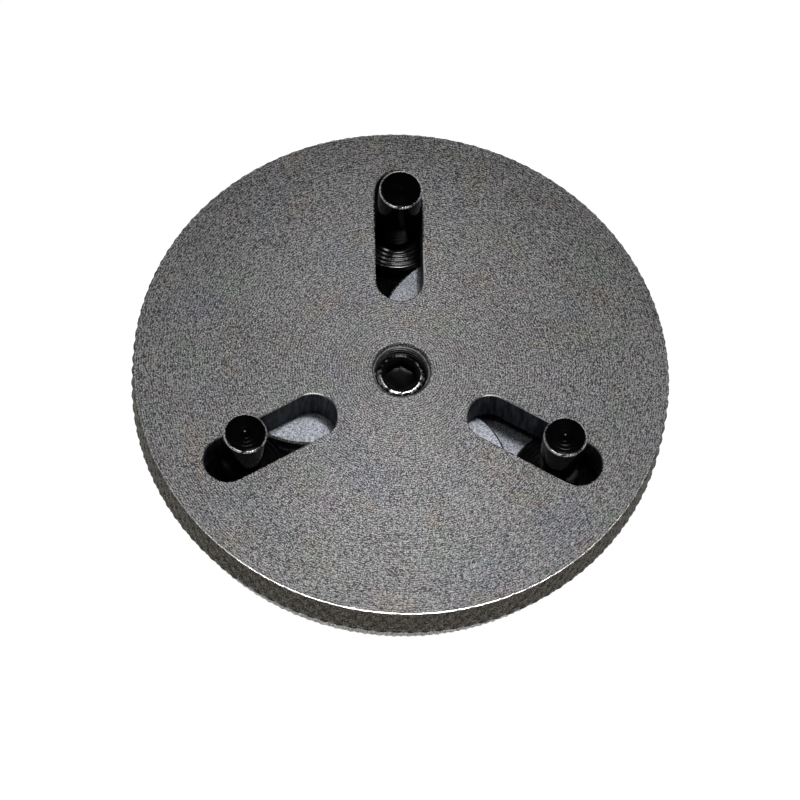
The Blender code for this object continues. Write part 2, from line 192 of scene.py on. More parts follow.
# Boss
NOSE_RADIUS = 9.188 * MM
NOSE_CHAMFER = 0.6 * MM
NOSE_GROOVE_DEPTH = 0.35 * MM
NOSE_GROOVE = (7.4 * MM, 7.2 * MM, 6.4 * MM, 6.2 * MM)
FLANGE_BOTTOM = 10.0 * MM
SOCKET_HALF_WIDTH = 4.8 * MM
SOCKET_CORNER = 0.5 * MM
SOCKET_LEAD = 0.55 * MM
SOCKET_FLOOR = 11.5 * MM
SOCKET_ROW = 0.35 * MM
BOSS_SOCKET = 1
SOCKET_SIDE_STEPS = 20
SOCKET_CORNER_STEPS = 6
DETENT_HEIGHT = 4.6 * MM
DETENT_RADIUS = 1.7 * MM
DETENT_DEPTH = 0.6 * MM

TURNED_STEPS = 128
HEX_STEPS = 96

# Studio
WHITE = (1.0, 1.0, 1.0, 1.0)
FLOOR_RADIUS = 6.0
FLOOR_DROP = 0.2 * MM
FLOOR_GLOW = 0.97
WORLD_GLOW = 0.05
HIGH_LIGHT = 0.55
LOW_LIGHT = 0.6
LIGHT_TARGET = (0.0, -0.45 * DISC_RADIUS, DISC_TOP)
CAMERA_LENS = 295.4
CAMERA_SENSOR = 36.0
CAMERA_HEADING = math.radians(-7.9)
CAMERA_TILT = math.radians(26.4)
CAMERA_ROLL = math.radians(7.7)
CAMERA_TARGET = Vector((-0.008 * DISC_RADIUS, -0.123 * DISC_RADIUS, DISC_TOP))
CAMERA_DISTANCE = 24.3 * DISC_RADIUS


class Shell:
    """Collects the points and faces of one piece, and makes its object."""

    def __init__(self):
        self.points = []
        self.faces = []
        self.finishes = []
        self.finish = 0

    def ring(self, points):
        """Adds a ring of points, and returns their indices."""
        start = len(self.points)
        self.points.extend(points)
        return list(range(start, len(self.points)))

    def face(self, corners):
        self.faces.append(tuple(corners))
        self.finishes.append(self.finish)

    def band(self, one, other):
        """Joins two rings with as many points, or a ring and a single point."""
        if len(one) == 1 and len(other) == 1:
            return
        count = max(len(one), len(other))
        for i in range(count):
            j = (i + 1) % count
            if len(one) == 1:
                self.face((one[0], other[j], other[i]))
            elif len(other) == 1:
                self.face((one[i], one[j], other[0]))
            else:
                self.face((one[i], one[j], other[j], other[i]))

    def stack(self, rings, closed=False):
        """Adds rings and joins each to the next. It returns the first and the last."""
        made = [self.ring(points) for points in rings]
        for one, other in zip(made, made[1:]):
            self.band(one, other)
        if closed:
            self.band(made[-1], made[0])
        return made[0], made[-1]

    def flat(self, outer, holes=()):
        """Fills the flat area inside a ring, apart from the holes."""
        loops = [outer, *holes]
        order = [index for loop in loops for index in loop]
        corners = [[Vector(self.points[index]) for index in loop] for loop in loops]
        for triangle in tessellate_polygon(corners):
            self.face(order[k] for k in triangle)

    def make(self, name, finishes, place=(0.0, 0.0, 0.0)):
        """Makes the piece's object, its faces turned outwards and its corners sharp."""
        mesh = bpy.data.meshes.new(name)
        mesh.from_pydata([tuple(point) for point in self.points], [], self.faces)
        for finish in finishes:
            mesh.materials.append(finish)
        mesh.polygons.foreach_set("material_index", self.finishes)
        solid = bmesh.new()
        solid.from_mesh(mesh)
        bmesh.ops.recalc_face_normals(solid, faces=solid.faces)
        solid.to_mesh(mesh)
        solid.free()
        mesh.shade_smooth()
        mesh.set_sharp_from_angle(angle=SHARP_ANGLE)
        piece = bpy.data.objects.new(name, mesh)
        piece.location = place
        bpy.context.scene.collection.objects.link(piece)
        return piece


def circle(radius, height, steps=TURNED_STEPS, about=(0.0, 0.0)):
    """A ring of points, or a single point where the radius is nothing."""
    if radius <= 0.0:
        return [(about[0], about[1], height)]
    return [
        (
            about[0] + radius * math.cos(FULL_TURN * i / steps),
            about[1] + radius * math.sin(FULL_TURN * i / steps),
            height,
        )
        for i in range(steps)
    ]


def spun(profile, steps=TURNED_STEPS):
    """The rings of a turned shape, from its (radius, height) points."""
    return [circle(radius, height, steps) for radius, height in profile]


def arc(centre, radius, start, end, steps):
    """Points round part of a circle, both ends included."""
    return [
        (
            centre[0] + radius * math.cos(start + (end - start) * i / steps),
            centre[1] + radius * math.sin(start + (end - start) * i / steps),
        )
        for i in range(steps + 1)
    ]


def rounded_edge(radius, top, fillet):
    """The quarter-round from a flat end out and down to a turned side."""
    turns = [QUARTER * i / ROUND_EDGE_STEPS for i in range(ROUND_EDGE_STEPS + 1)]
    return [(radius - fillet * (1 - math.sin(t)), top - fillet * (1 - math.cos(t))) for t in turns]


def polar(radius, azimuth):
    return radius * math.cos(azimuth), radius * math.sin(azimuth)


def at_height(outline, height):
    return [(x, y, height) for x, y in outline]


def slot_azimuth(index):
    return FIRST_SLOT + FULL_TURN * index / SLOT_COUNT


def slot_outline(azimuth, half_width):
    """A round-ended slot along a radius."""
    outer_end = polar(SLOT_OUTER_CENTRE, azimuth)
    inner_end = polar(SLOT_INNER_CENTRE, azimuth)
    outer = arc(outer_end, half_width, azimuth - QUARTER, azimuth + QUARTER, SLOT_END_STEPS)
    inner = arc(inner_end, half_width, azimuth + QUARTER, azimuth + 3 * QUARTER, SLOT_END_STEPS)
    return outer + inner


def groove_outline(azimuth, half_width):
    """A round-ended groove about a spiral whose radius falls steadily with azimuth."""
    first_turn = (GROOVE_REST_CENTRE - SLOT_OUTER_CENTRE) / GROOVE_RISE
    last_turn = (GROOVE_REST_CENTRE - SLOT_INNER_CENTRE) / GROOVE_RISE
    sides = {-1: [], 1: []}
    ends = []
    for i in range(GROOVE_STEPS + 1):
        turn = first_turn + (last_turn - first_turn) * i / GROOVE_STEPS
        radius = GROOVE_REST_CENTRE - GROOVE_RISE * turn
        x, y = polar(radius, azimuth + turn)
        heading = math.atan2(radius, -GROOVE_RISE) + azimuth + turn
        for side, points in sides.items():
            aside = side * half_width
            points.append((x - aside * math.sin(heading), y + aside * math.cos(heading)))
        ends.append((x, y, heading))
    x, y, heading = ends[-1]
    inner_cap = arc((x, y), half_width, heading - QUARTER, heading + QUARTER, SLOT_END_STEPS)
    x, y, heading = ends[0]
    outer_cap = arc((x, y), half_width, heading + QUARTER, heading + 3 * QUARTER, SLOT_END_STEPS)
    return sides[-1] + inner_cap[1:-1] + sides[1][::-1] + outer_cap[1:-1]


def hex_radius(azimuth, across_flats):
    sixth = FULL_TURN / 6
    return across_flats / 2 / math.cos((azimuth + sixth / 2) % sixth - sixth / 2)


def hex_rings(across_flats, top, depth, down=1):
    """A hexagon recess with a round lead-in. down is -1 where it opens downwards."""
    lead = across_flats / math.sqrt(3) + HEX_LEAD
    azimuths = [FULL_TURN * i / HEX_STEPS for i in range(HEX_STEPS)]
    radii = [hex_radius(azimuth, across_flats) for azimuth in azimuths]
    upper = []
    wall_end = []
    for azimuth, radius in zip(azimuths, radii):
        x, y = polar(radius, azimuth)
        upper.append((x, y, top - down * (lead - radius) * HEX_LEAD_SLOPE))
        wall_end.append((x, y, top - down * depth))
    return [
        circle(lead, top, HEX_STEPS),
        upper,
        wall_end,
        circle(across_flats * HEX_FLOOR_SHARE, top - down * (depth + HEX_FLOOR_DROP), HEX_STEPS),
        circle(0.0, top - down * (depth + HEX_CENTRE_DROP), HEX_STEPS),
    ]


# Rims


def knurl_cut(around, along):
    """How deep the knurl is cut, from 0 on a crest to 1 in a groove, at a place counted in cells."""
    one = abs(2 * ((around + along) % 1.0) - 1)
    other = abs(2 * ((around - along) % 1.0) - 1)
    return min(1.0, max(0.0, (max(one, other) - KNURL_LAND) / (1 - KNURL_LAND)))


def knurl_heights(bottom, top, chamfer, cell):
    """Rows for the knurl: evenly spaced between the chamfers, and closer together on them."""
    row = cell / KNURL_COLUMNS
    middle = (bottom + top) / 2
    reach = (top - bottom) / 2 - chamfer
    count = int(reach / row)
    heights = [middle + row * i for i in range(-count, count + 1)]
    for share in KNURL_EDGE_SHARES:
        heights.append(top - chamfer * share)
        heights.append(bottom + chamfer * share)
    kept = []
    for height in sorted(heights, reverse=True):
        if not kept or kept[-1] - height > KNURL_LEAST_ROW:
            kept.append(height)
    return kept


def worn_inset(drop, chamfer):
    """How far in a rim's edge lies at a drop below its face: nearly flat at first, then steeper."""
    share = drop / chamfer
    for (near, inset), (far, next_inset) in zip(WORN_PATH, WORN_PATH[1:]):
        if share <= far:
            return chamfer * (inset + (next_inset - inset) * (share - near) / (far - near))
    return 0.0


def knurled_band(shell, radius, bottom, top, chamfer, pitches, edge_finishes=()):
    """A diamond-knurled rim between two turned chamfers. It returns the top and bottom rings.

    Where edge_finishes gives two finishes, they go on the rows at the top and at the bottom.
    """
    cell = FULL_TURN * radius / pitches / math.tan(KNURL_HELIX)
    columns = pitches * KNURL_COLUMNS
    middle = (top + bottom) / 2
    rings = []
    cuts = []
    for height in knurl_heights(bottom, top, chamfer, cell):
        cone = radius - worn_inset(min(top - height, height - bottom), chamfer)
        points = []
        radii = []
        for i in range(columns):
            depth = KNURL_DEPTH * knurl_cut(i / KNURL_COLUMNS, (height - middle) / cell)
            at = min(radius - depth, cone)
            x, y = polar(at, FULL_TURN * i / columns)
            points.append((x, y, height))
            radii.append(at)
        rings.append(shell.ring(points))
        cuts.append(radii)
    rim_finish = shell.finish
    for row in range(len(rings) - 1):
        upper, lower = rings[row], rings[row + 1]
        high, low = cuts[row], cuts[row + 1]
        if edge_finishes and row < WORN_ROWS:
            shell.finish = edge_finishes[0]
        # For the disc these bottom rows are painted black: painted shade in the gap above the scroll
        # plate
        elif edge_finishes and row > len(rings) - 2 - PAINTED_SHADE_ROWS:
            shell.finish = edge_finishes[1]
        else:
            shell.finish = rim_finish
        for i in range(columns):
            j = (i + 1) % columns
            if high[i] + low[j] < high[j] + low[i]:
                shell.face((upper[i], upper[j], lower[j]))
                shell.face((upper[i], lower[j], lower[i]))
            else:
                shell.face((upper[i], upper[j], lower[i]))
                shell.face((upper[j], lower[j], lower[i]))
    return rings[0], rings[-1]


# Finishes


class Number:
    """A number from a node, which arithmetic adds Math nodes to."""

    def __init__(self, finish, socket):
        self.finish = finish
        self.socket = socket

    def work(self, operation, *values):
        return self.finish.node("ShaderNodeMath", {"operation": operation}, dict(enumerate(values)))

    def __add__(self, other):
        return self.work("ADD", self, other)

    __radd__ = __add__

    def __sub__(self, other):
        return self.work("SUBTRACT", self, other)

    def __rsub__(self, other):
        return self.work("SUBTRACT", other, self)

    def __mul__(self, other):
        return self.work("MULTIPLY", self, other)

    __rmul__ = __mul__

    def __truediv__(self, other):
        return self.work("DIVIDE", self, other)

    def __pow__(self, other):
        return self.work("POWER", self, other)

    def sine(self):
        return self.work("SINE", self)

    def step(self, low, high):
        """0 below low and 1 above high, smoothly between. low may be the larger one."""
        settings = {"interpolation_type": "SMOOTHSTEP"}
        return self.finish.node("ShaderNodeMapRange", settings, {0: self, 1: low, 2: high})


class Finish:
    """One procedural material. Lengths in it are in millimetres."""

    def __init__(self, name):
        self.material = bpy.data.materials.new(name)
        self.material.use_nodes = True
        self.tree = self.material.node_tree
        self.shader = self.tree.nodes["Principled BSDF"]
        where = self.node("ShaderNodeTexCoord", output="Object")
        scale = {0: where, "Scale": 1 / MM}
        self.point = self.node("ShaderNodeVectorMath", {"operation": "SCALE"}, scale)
        self.x = self.node("ShaderNodeSeparateXYZ", {}, {0: self.point}, "X")
        self.y = self.node("ShaderNodeSeparateXYZ", {}, {0: self.point}, "Y")
        self.z = self.node("ShaderNodeSeparateXYZ", {}, {0: self.point}, "Z")
        self.radius = (self.x * self.x + self.y * self.y) ** 0.5

    def node(self, kind, settings=None, values=None, output=0):
        made = self.tree.nodes.new(kind)
        for name, value in (settings or {}).items():
            setattr(made, name, value)
        for name, value in (values or {}).items():
            self.feed(made.inputs[name], value)
        return Number(self, made.outputs[output])

    def feed(self, socket, value):
        if isinstance(value, Number):
            self.tree.links.new(value.socket, socket)
        else:
            socket.default_value = value

    def noise(self, size, detail=2.0, rough=0.5, point=None):
        """Smooth random values about 0.5, in patches of about that many millimetres."""
        where = point or self.point
        values = {"Vector": where, "Scale": 1 / size, "Detail": detail, "Roughness": rough}
        return self.node("ShaderNodeTexNoise", {}, values)

    def fine(self, size):
        """Noise for specks and grain, rougher and less detailed than the rest."""
        return self.noise(size, 1.0, 0.6)

    def vector(self, operation, amount):
        return self.node("ShaderNodeVectorMath", {"operation": operation}, {0: self.point, 1: amount})

    def stretched(self, x, y, z):
        """The place on the piece, drawn out along some axes."""
        return self.vector("MULTIPLY", (x, y, z))

    def shifted(self, x, y, z):
        """The place on the piece, moved over, for noise unlike another of the same size."""
        return self.vector("ADD", (x, y, z))

    def rings(self, pitch, wander=0.0):
        """A wave outwards from the axis, from -1 to 1, with one ring to each pitch."""
        return (self.radius * (FULL_TURN / pitch) + wander).sine()

    def blend(self, one, other, mask, way="MIX"):
        """One colour where the mask is 0, and the other where it is 1."""
        colours = [(*c, 1.0) if isinstance(c, tuple) else c for c in (one, other)]
        settings = {"data_type": "RGBA", "blend_type": way, "clamp_factor": True}
        return self.node("ShaderNodeMix", settings, {0: mask, 6: colours[0], 7: colours[1]}, 2)

    def bump(self, height, depth, strength=1.0):
        """A bump of that depth in millimetres where the height goes from 0 to 1."""
        values = {"Strength": strength, "Distance": depth * MM, "Height": height}
        return self.node("ShaderNodeBump", {}, values)

    def done(self, **values):
        """Feeds the shader's sockets, whose names have _ for a space, and returns the material."""
        for name, value in values.items():
            self.feed(self.shader.inputs[name.replace("_", " ")], value)
        return self.material


DASH_TURN = 11.0
BARE_SPARK = (0.85, 0.85, 0.85)
# Faint colours of a phosphated face: size in mm, where the mask starts and ends, tint and amount
FACE_TINTS = [
    (5.5, 0.52, 0.70, (1.0, 0.88, 0.74), 0.5),
    (13.0, 0.52, 0.68, (0.84, 0.90, 1.0), 0.5),
    (8.0, 0.54, 0.68, (0.86, 1.0, 0.86), 0.45),
    (3.1, 0.50, 0.66, (1.0, 0.86, 0.98), 0.4),
    (0.9, 0.50, 0.62, (1.0, 0.86, 0.86), 0.35),
    (0.7, 0.48, 0.38, (0.84, 0.96, 1.0), 0.4),
]


def turned_steel(name, dark, light, ring_pitch=0.34):
    """Phosphated steel with the marks of facing on a lathe."""
    finish = Finish(name)
    around = (finish.x / finish.radius * DASH_TURN, finish.y / finish.radius * DASH_TURN)
    values = {0: around[0], 1: around[1], 2: finish.radius}
    round_and_out = finish.node("ShaderNodeCombineXYZ", {}, values)
    dash = finish.noise(0.17, 1.0, 0.6, round_and_out)
    speck = finish.fine(0.15)
    spark = finish.noise(0.17, 0.0, 0.5, finish.shifted(40.0, 9.0, 0.0))
    grain = finish.noise(0.35, 2.0, 0.6)
    patch = finish.noise(9.0, 3.0, 0.6)
    wander = finish.noise(3.0, 1.0, 0.5)
    ring = finish.rings(ring_pitch, wander * 1.5)
    near_centre = finish.radius.step(22.0, 5.0)
    tone = 0.33 + (speck - 0.5) * 4.0 + (dash - 0.5) * 4.6 + (grain - 0.5) * 2.0
    tone = tone + ring * (0.32 + near_centre * 0.2) + (patch - 0.5) * 0.5
    colour = finish.blend(dark, light, tone)
    colour = finish.blend(colour, BARE_SPARK, spark.step(0.60, 0.68) * 0.5)
    for size, low, high, tint, amount in FACE_TINTS:
        mask = finish.noise(size, 3.0, 0.6).step(low, high)
        colour = finish.blend(colour, tint, mask * amount, "MULTIPLY")
    rough = 0.52 + (speck - 0.5) * 0.35 + (patch - 0.5) * 0.1
    height = speck * 0.6 + dash * 0.6 + ring * 0.6 + grain * 0.3
    return finish.done(
        Base_Color=colour,
        Roughness=rough,
        Metallic=0.45,
        Specular_IOR_Level=0.4,
        Normal=finish.bump(height, 0.03, 0.8),
    )


RUST_TINT = (1.0, 0.80, 0.66)
GREEN_TINT = (0.78, 0.92, 0.86)


def knurled_steel(name, crest_radius, dark, light, rubbed):
    """The rolled rim: a dark, grainy coat, rubbed lighter in specks and on the crests."""
    finish = Finish(name)
    speck = finish.fine(0.2)
    tint = finish.noise(0.5, 1.0, 0.5)
    patch = finish.noise(5.0, 3.0, 0.6)
    crest = finish.radius.step(crest_radius / MM - 0.09, crest_radius / MM - 0.01)
    wear = crest * 0.4 * patch.step(0.3, 0.6) + (speck - 0.54) * 7.0
    colour = finish.blend(dark, light, speck.step(0.35, 0.68))
    colour = finish.blend(colour, rubbed, wear)
    colour = finish.blend(colour, RUST_TINT, tint.step(0.5, 0.64) * 0.6, "MULTIPLY")
    colour = finish.blend(colour, GREEN_TINT, tint.step(0.5, 0.36) * 0.5, "MULTIPLY")
    rough = 0.5 + (speck - 0.5) * 0.3 - crest * 0.12
    return finish.done(
        Base_Color=colour,
        Roughness=rough,
        Metallic=0.0,
        Specular_IOR_Level=0.04,
        Normal=finish.bump(speck + patch * 0.5, 0.05, 0.9),
    )


def cut_edge(name):
    """Bare, bright cut of a chamfer."""
    finish = Finish(name)
    speck = finish.noise(0.25, 2.0, 0.6)
    wear = finish.noise(4.0, 2.0, 0.6).step(0.3, 0.62)
    colour = finish.blend((0.30, 0.29, 0.28), (0.85, 0.84, 0.81), wear * 0.7 + speck * 0.5)
    return finish.done(
        Base_Color=colour,
        Roughness=0.25 + (speck - 0.5) * 0.2,
        Metallic=0.85,
        Normal=finish.bump(speck, 0.012, 0.6),
    )


def milled_wall(name):
    """The dark wall of a slot, with the upright marks of the end mill."""
    finish = Finish(name)
    marks = finish.noise(0.5, 2.0, 0.6, finish.stretched(1.0, 1.0, 0.12))
    speck = finish.noise(0.2, 2.0, 0.6)
    colour = finish.blend((0.008, 0.009, 0.012), (0.095, 0.112, 0.155), marks.step(0.3, 0.8))
    return finish.done(
        Base_Color=colour,
        Roughness=0.5 + (speck - 0.5) * 0.3,
        Metallic=0.2,
        Specular_IOR_Level=0.2,
        Normal=finish.bump(marks + speck * 0.4, 0.02, 0.7),
    )


BORING_PITCH = 0.62


def bored_wall(name):
    """A bored hole's wall, with the light and dark rings of the boring tool."""
    finish = Finish(name)
    speck = finish.noise(0.2, 2.0, 0.6)
    wander = finish.noise(1.6, 2.0, 0.6)
    ring = (finish.z * (FULL_TURN / BORING_PITCH) + wander * 4.0).sine()
    tone = ring.step(-0.4, 0.9) * 0.8 + (speck - 0.5) * 2.0
    colour = finish.blend((0.012, 0.012, 0.014), (0.75, 0.75, 0.77), tone)
    return finish.done(
        Base_Color=colour,
        Roughness=0.4 + (speck - 0.5) * 0.3,
        Metallic=0.5,
        Normal=finish.bump(ring * 0.5 + speck * 0.5, 0.03, 0.7),
    )


def ground_steel(name, dark, light):
    """Blue-grey steel, ground flat, with a granular bloom."""
    finish = Finish(name)
    speck = finish.noise(0.15, 1.0, 0.7)
    grain = finish.noise(0.4, 2.0, 0.7)
    scratch = finish.noise(0.6, 2.0, 0.6, finish.stretched(1.0, 0.08, 1.0))
    patch = finish.noise(6.0, 3.0, 0.6)
    tone = 0.5 + (speck - 0.5) * 3.0 + (grain - 0.5) * 1.6
    tone = tone + (scratch - 0.5) * 0.4 + (patch - 0.5) * 0.5
    colour = finish.blend(dark, light, tone)
    return finish.done(
        Base_Color=colour,
        Roughness=0.45 + (speck - 0.5) * 0.3,
        Metallic=0.6,
        Normal=finish.bump(speck + scratch * 0.5, 0.025, 0.8),
    )


def black_oxide(name, ring_pitch=0.3, gloss=0.06):
    """Oiled black oxide on turned steel: near black, with fine turned rings and faint smears."""
    finish = Finish(name)
    speck = finish.noise(0.18, 2.0, 0.6)
    smear = finish.noise(2.2, 3.0, 0.6)
    ring = finish.rings(ring_pitch)
    colour = finish.blend((0.0006, 0.0006, 0.0007), (0.002, 0.002, 0.0021), smear.step(0.35, 0.75))
    return finish.done(
        Base_Color=colour,
        Roughness=0.12 + smear.step(0.4, 0.7) * 0.06 + (speck - 0.5) * 0.08,
        Specular_IOR_Level=gloss,
        Normal=finish.bump(ring * 0.5 + speck * 0.5, 0.006, 0.6),
    )


def rubbed_edge(name, low, high):
    """Black oxide rubbed through to bright metal in patches along an edge."""
    finish = Finish(name)
    speck = finish.noise(0.25, 2.0, 0.6)
    worn = (finish.noise(1.1, 3.0, 0.7) + (speck - 0.5) * 0.3).step(low, high)
    return finish.done(
        Base_Color=finish.blend((0.006, 0.006, 0.007), (0.62, 0.63, 0.66), worn),
        Roughness=0.2 + speck * 0.15,
        Metallic=0.9,
        Normal=finish.bump(speck, 0.01, 0.6),
    )


def washer_metal(name, dark, light, roughness):
    """Rolled sheet with fine rubbed rings."""
    finish = Finish(name)
    ring = finish.rings(0.21)
    speck = finish.noise(0.3, 2.0, 0.6)
    colour = finish.blend(dark, light, 0.5 + ring * 0.2 + (speck - 0.5) * 0.9)
    return finish.done(
        Base_Color=colour,
        Roughness=roughness + (speck - 0.5) * 0.2,
        Metallic=0.9,
        Normal=finish.bump(ring * 0.5 + speck, 0.01, 0.6),
    )


# Pieces


def make_knurled_disc():
    """The front disc: knurled rim, turned face, three slots and the counterbore."""
    shell = Shell()
    shell.finish = RIM
    top_ring, bottom_ring = knurled_band(
        shell, DISC_RADIUS, DISC_BOTTOM, DISC_TOP, DISC_CHAMFER, KNURL_PITCHES, (EDGE, PAINTED_SHADE)
    )
    top_holes = []
    bottom_holes = []
    for index in range(SLOT_COUNT):
        azimuth = slot_azimuth(index)
        wide = slot_outline(azimuth, SLOT_HALF_WIDTH + SLOT_EDGE)
        wall = slot_outline(azimuth, SLOT_HALF_WIDTH)
        wall_top = at_height(wall, DISC_TOP - SLOT_EDGE)
        shell.finish = EDGE
        upper, _ = shell.stack([at_height(wide, DISC_TOP), wall_top])
        shell.finish = WALL
        wall_end = at_height(wall, DISC_BOTTOM + SLOT_EDGE)
        _, lower = shell.stack([wall_top, wall_end, at_height(wide, DISC_BOTTOM)])
        top_holes.append(upper)
        bottom_holes.append(lower)
    mouth = COUNTERBORE_RADIUS + COUNTERBORE_EDGE
    lip = (COUNTERBORE_RADIUS + COUNTERBORE_EDGE * 0.8, DISC_TOP - COUNTERBORE_LIP)
    shell.finish = EDGE
    upper, _ = shell.stack(spun([(mouth, DISC_TOP), lip]))
    rounded = [
        (COUNTERBORE_RADIUS + COUNTERBORE_EDGE * out, DISC_TOP - COUNTERBORE_EDGE * down)
        for out, down in COUNTERBORE_PATH
    ]
    bore = [
        lip,
        *rounded,
        (COUNTERBORE_RADIUS, COUNTERBORE_FLOOR),
        (PIVOT_BORE, COUNTERBORE_FLOOR),
        (PIVOT_BORE, DISC_BOTTOM + SLOT_EDGE),
        (PIVOT_BORE + SLOT_EDGE, DISC_BOTTOM),
    ]
    shell.finish = INNER
    _, lower = shell.stack(spun(bore))
    top_holes.append(upper)
    bottom_holes.append(lower)
    shell.finish = FACE
    shell.flat(top_ring, top_holes)
    shell.flat(bottom_ring, bottom_holes)
    finishes = [
        turned_steel("turned phosphated steel", (0.036, 0.036, 0.036), (0.32, 0.315, 0.320)),
        knurled_steel(
            "knurled phosphated steel",
            DISC_RADIUS,
            (0.014, 0.012, 0.009),
            (0.085, 0.075, 0.060),
            (0.26, 0.24, 0.205),
        ),
        cut_edge("bright chamfer"),
        milled_wall("milled slot wall"),
        bored_wall("bored counterbore"),
        # Near black on the rim's lower rows: painted shade in the gap above the scroll plate
        black_oxide("painted shade on lower edge"),
    ]
    piece = shell.make("disc", finishes)
    weld(piece)
    return piece


def weld(piece):
    """Joins points that lie on each other, so that the mesh is closed."""
    solid = bmesh.new()
    solid.from_mesh(piece.data)
    bmesh.ops.remove_doubles(solid, verts=solid.verts, dist=0.001 * MM)
    bmesh.ops.recalc_face_normals(solid, faces=solid.faces)
    solid.to_mesh(piece.data)
    solid.free()
    piece.data.set_sharp_from_angle(angle=SHARP_ANGLE)


def make_scroll_plate():
    """The plate behind the disc: knurled rim, three blind spiral grooves, a recess and screw holes."""
    shell = Shell()
    pitches = round(KNURL_PITCHES * SCROLL_RADIUS / DISC_RADIUS)
    shell.finish = RIM
    top_ring, bottom_ring = knurled_band(
        shell, SCROLL_RADIUS, SCROLL_BOTTOM, SCROLL_TOP, SCROLL_CHAMFER, pitches
    )
    top_holes = []
    for index in range(SLOT_COUNT):
        azimuth = slot_azimuth(index)
        wide = groove_outline(azimuth, GROOVE_HALF_WIDTH + GROOVE_EDGE)
        wall = groove_outline(azimuth, GROOVE_HALF_WIDTH)
        narrow = groove_outline(azimuth, GROOVE_HALF_WIDTH - GROOVE_FILLET)
        upper = shell.ring(at_height(wide, SCROLL_TOP))
        eased = shell.ring(at_height(wall, SCROLL_TOP - GROOVE_EDGE))
        foot = shell.ring(at_height(wall, GROOVE_BASE + GROOVE_FILLET))
        floor = shell.ring(at_height(narrow, GROOVE_BASE))
        shell.finish = GROOVE_EDGE_FINISHES[index]
        shell.band(upper, eased)
        shell.finish = WALL
        shell.band(eased, foot)
        shell.band(foot, floor)
        shell.finish = GROOVE_FINISHES[index]
        shell.flat(floor)
        top_holes.append(upper)
    shell.finish = FACE
    bore = [
        (RECESS_RADIUS + SLOT_EDGE, SCROLL_TOP),
        (RECESS_RADIUS, SCROLL_TOP - SLOT_EDGE),
        (RECESS_RADIUS, RECESS_FLOOR),
        (THREAD_HOLE, RECESS_FLOOR),
        (THREAD_HOLE, SCROLL_BOTTOM),
    ]
    recess, through = shell.stack(spun(bore))
    bottom_holes = [through]
    for index in range(SLOT_COUNT):
        place = centre_of(f"boss_screw_{index + 1}")
        rings = [
            circle(THREAD_HOLE, SCROLL_BOTTOM, HEX_STEPS, place),
            circle(THREAD_HOLE, BLIND_HOLE_END, HEX_STEPS, place),
            circle(0.0, BLIND_HOLE_END, HEX_STEPS, place),
        ]
        mouth, _ = shell.stack(rings)
        bottom_holes.append(mouth)
    shell.flat(top_ring, top_holes + [recess])
    shell.flat(bottom_ring, bottom_holes)
    finishes = [
        ground_steel("ground steel", (0.09, 0.095, 0.11), (0.46, 0.48, 0.53)),
        knurled_steel(
            "knurled ground steel",
            SCROLL_RADIUS,
            (0.16, 0.157, 0.150),
            (0.62, 0.61, 0.59),
            (0.86, 0.85, 0.83),
        ),
        cut_edge("groove edge"),
        # The groove walls get the dark milled finish: painted shade in the grooves
        milled_wall("painted shade groove"),
        # A darker copy of the ground steel: painted shade on the third groove's recessed floor
        ground_steel("darker groove floor painted shade", (0.06, 0.065, 0.075), (0.40, 0.42, 0.47)),
        # Near black: painted shade on the first two groove floors and the third groove's edge
        black_oxide("painted shade groove floor"),
    ]
    return shell.make("scroll", finishes)


def centre_of(node):
    """Where a node's box has its middle, seen from above."""
    low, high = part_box(node)
    return (low.x + high.x) / 2, (low.y + high.y) / 2


EDGE_SHARE = 0.7


def worn_stack(shell, rings, low, high):
    """Joins turned rings, with the second finish on the outer edge's bands between two heights."""
    made = [shell.ring(points) for points in rings]
    widest = max(points[0][0] for points in rings)
    for i in range(len(rings) - 1):
        middle = (rings[i][0][2] + rings[i + 1][0][2]) / 2
        at_edge = rings[i][0][0] > EDGE_SHARE * widest
        shell.finish = 1 if at_edge and low < middle < high else 0
        shell.band(made[i], made[i + 1])
    return made[0], made[-1]


def make_pin(index, finishes):
    """A drive pin with faint turned rings and a centre pip on its end."""
    node = f"pin_{index + 1}"
    low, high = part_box(node)
    top = high.z - low.z
    shoulder = PIN_SHOULDER - low.z
    profile = [(PIN_PIP * share, top - drop) for share, drop in PIN_PIP_PATH]
    radius = PIN_PIP * PIN_FIRST_RING
    end = PIN_RADIUS - PIN_CHAMFER
    while radius < end - PIN_RING_PITCH / 2:
        for share, drop in PIN_RING_PATH:
            profile.append((radius + PIN_RING_PITCH * share, top - drop))
        radius += PIN_RING_PITCH
    profile += [
        (end - PIN_FLAT_END, top),
        *rounded_edge(PIN_RADIUS, top, PIN_CHAMFER),
        (PIN_RADIUS, shoulder),
        (PIN_TAIL_RADIUS, shoulder),
        (PIN_TAIL_RADIUS, 0.0),
        (0.0, 0.0),
    ]
    shell = Shell()
    low_wear, high_wear = top - PIN_CHAMFER * PIN_WORN_FROM, top - PIN_CHAMFER * PIN_WORN_TO
    worn_stack(shell, spun(profile), low_wear, high_wear)
    x, y = centre_of(node)
    return shell.make(f"drive_pin_{index + 1}", finishes, (x, y, low.z))


